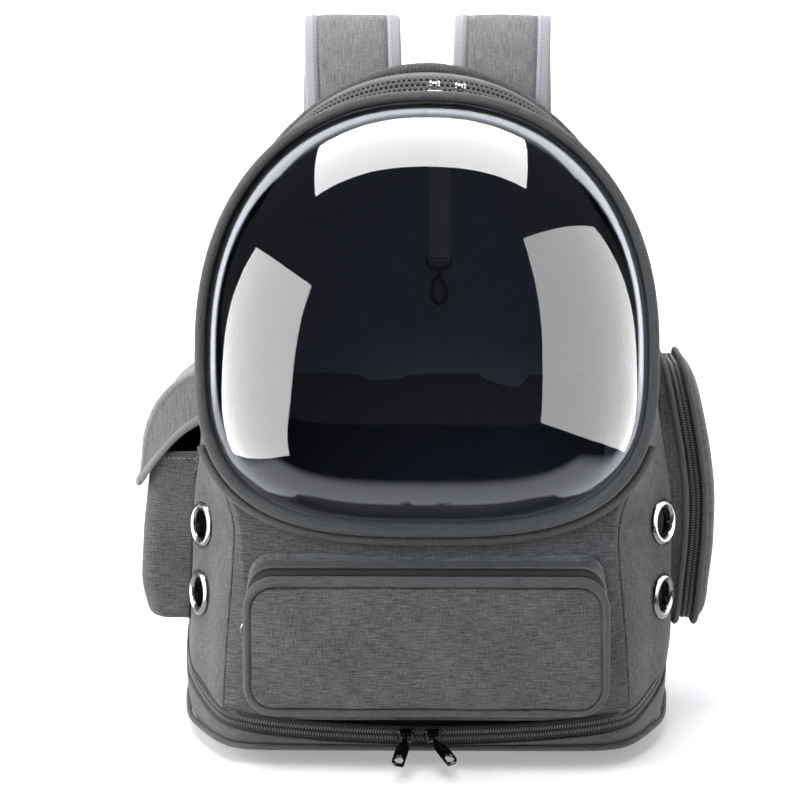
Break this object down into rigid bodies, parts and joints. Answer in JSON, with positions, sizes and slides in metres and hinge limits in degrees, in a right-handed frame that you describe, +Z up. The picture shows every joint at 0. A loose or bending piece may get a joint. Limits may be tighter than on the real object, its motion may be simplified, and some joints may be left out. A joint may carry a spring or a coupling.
{
  "type": "pet carrier backpack",
  "caption": "Arched fabric pet carrier backpack with a clear domed window in its front, steel air eyelets, a zipped base, pockets and padded straps.",
  "frame": {"origin": "on the floor under the middle of the base", "axes": "+Z up, the window and the front pocket face -Y, and the straps are on the +Y side; +X is the side of the zipped pocket"},
  "size_m": [0.394, 0.3717, 0.4724],
  "materials": {
    "heather_fabric": "matt heather weave",
    "piping": "matt bound edge",
    "strap_fabric": "matt heather weave",
    "pale_binding": "soft woven tape",
    "spacer_mesh": "open spacer mesh",
    "zip_tape": "coil zip",
    "lining": "smooth dark lining",
    "webbing": "ribbed webbing",
    "clear_bubble": "glossy smoked plastic",
    "black_nickel": "dark polished",
    "eyelet_steel": "polished",
    "buckle_plastic": "satin moulded"
  },
  "bodies": {
    "bag": {"body_front": "heather_fabric", "body_left": "heather_fabric", "body_right": "heather_fabric", "body_top": "heather_fabric", "base_tray": "heather_fabric", "base_zip": "zip_tape", "base_piping": "piping", "bubble_window": "clear_bubble", "window_binding": "piping", "window_piping": "piping", "top_zip": "zip_tape", "top_mesh": "spacer_mesh", "eyelet_left_upper": "eyelet_steel", "eyelet_left_lower": "eyelet_steel", "eyelet_right_upper": "eyelet_steel", "eyelet_right_lower": "eyelet_steel", "back_panel": "heather_fabric", "back_roll": "heather_fabric", "back_pad": "spacer_mesh", "cabin_liner": "lining", "front_pocket": "heather_fabric", "front_pocket_piping": "piping", "front_pocket_zip": "zip_tape", "bottle_pocket": "heather_fabric", "bottle_flap": "strap_fabric", "flap_binding": "pale_binding", "cargo_gusset": "heather_fabric", "cargo_zip": "zip_tape", "cargo_cover": "heather_fabric", "cargo_piping_inner": "piping", "cargo_piping_outer": "piping", "strap_left": "strap_fabric", "strap_left_inner_binding": "pale_binding", "strap_left_outer_binding": "pale_binding", "webbing_left": "webbing", "adjuster_left": "buckle_plastic", "strap_right": "strap_fabric", "strap_right_inner_binding": "pale_binding", "strap_right_outer_binding": "pale_binding", "webbing_right": "webbing", "adjuster_right": "buckle_plastic", "tether_webbing": "webbing", "tether_hook": "black_nickel", "base_left_slider": "black_nickel", "base_right_slider": "black_nickel", "top_left_slider": "black_nickel", "top_right_slider": "black_nickel"},
    "base_left_pull": {"base_left_tab": "black_nickel"},
    "base_right_pull": {"base_right_tab": "black_nickel"},
    "top_left_pull": {"top_left_tab": "black_nickel"},
    "top_right_pull": {"top_right_tab": "black_nickel"}
  },
  "joints": [
    {"name": "base_left_swing", "type": "hinge", "parent": "bag", "child": "base_left_pull", "pos_m": [-0.013, -0.1277, 0.01109], "axis": [1, 0, 0], "range_deg": [-50, 70]},
    {"name": "base_right_swing", "type": "hinge", "parent": "bag", "child": "base_right_pull", "pos_m": [0.0045, -0.1277, 0.01101], "axis": [1, 0, 0], "range_deg": [-50, 70]},
    {"name": "top_left_swing", "type": "hinge", "parent": "bag", "child": "top_left_pull", "pos_m": [0.00479, -0.038, 0.42973], "axis": [0.9994, 0, -0.0334], "range_deg": [0, 160]},
    {"name": "top_right_swing", "type": "hinge", "parent": "bag", "child": "top_right_pull", "pos_m": [0.0217, -0.038, 0.42836], "axis": [0.9967, 0, -0.0813], "range_deg": [0, 160]}
  ]
}
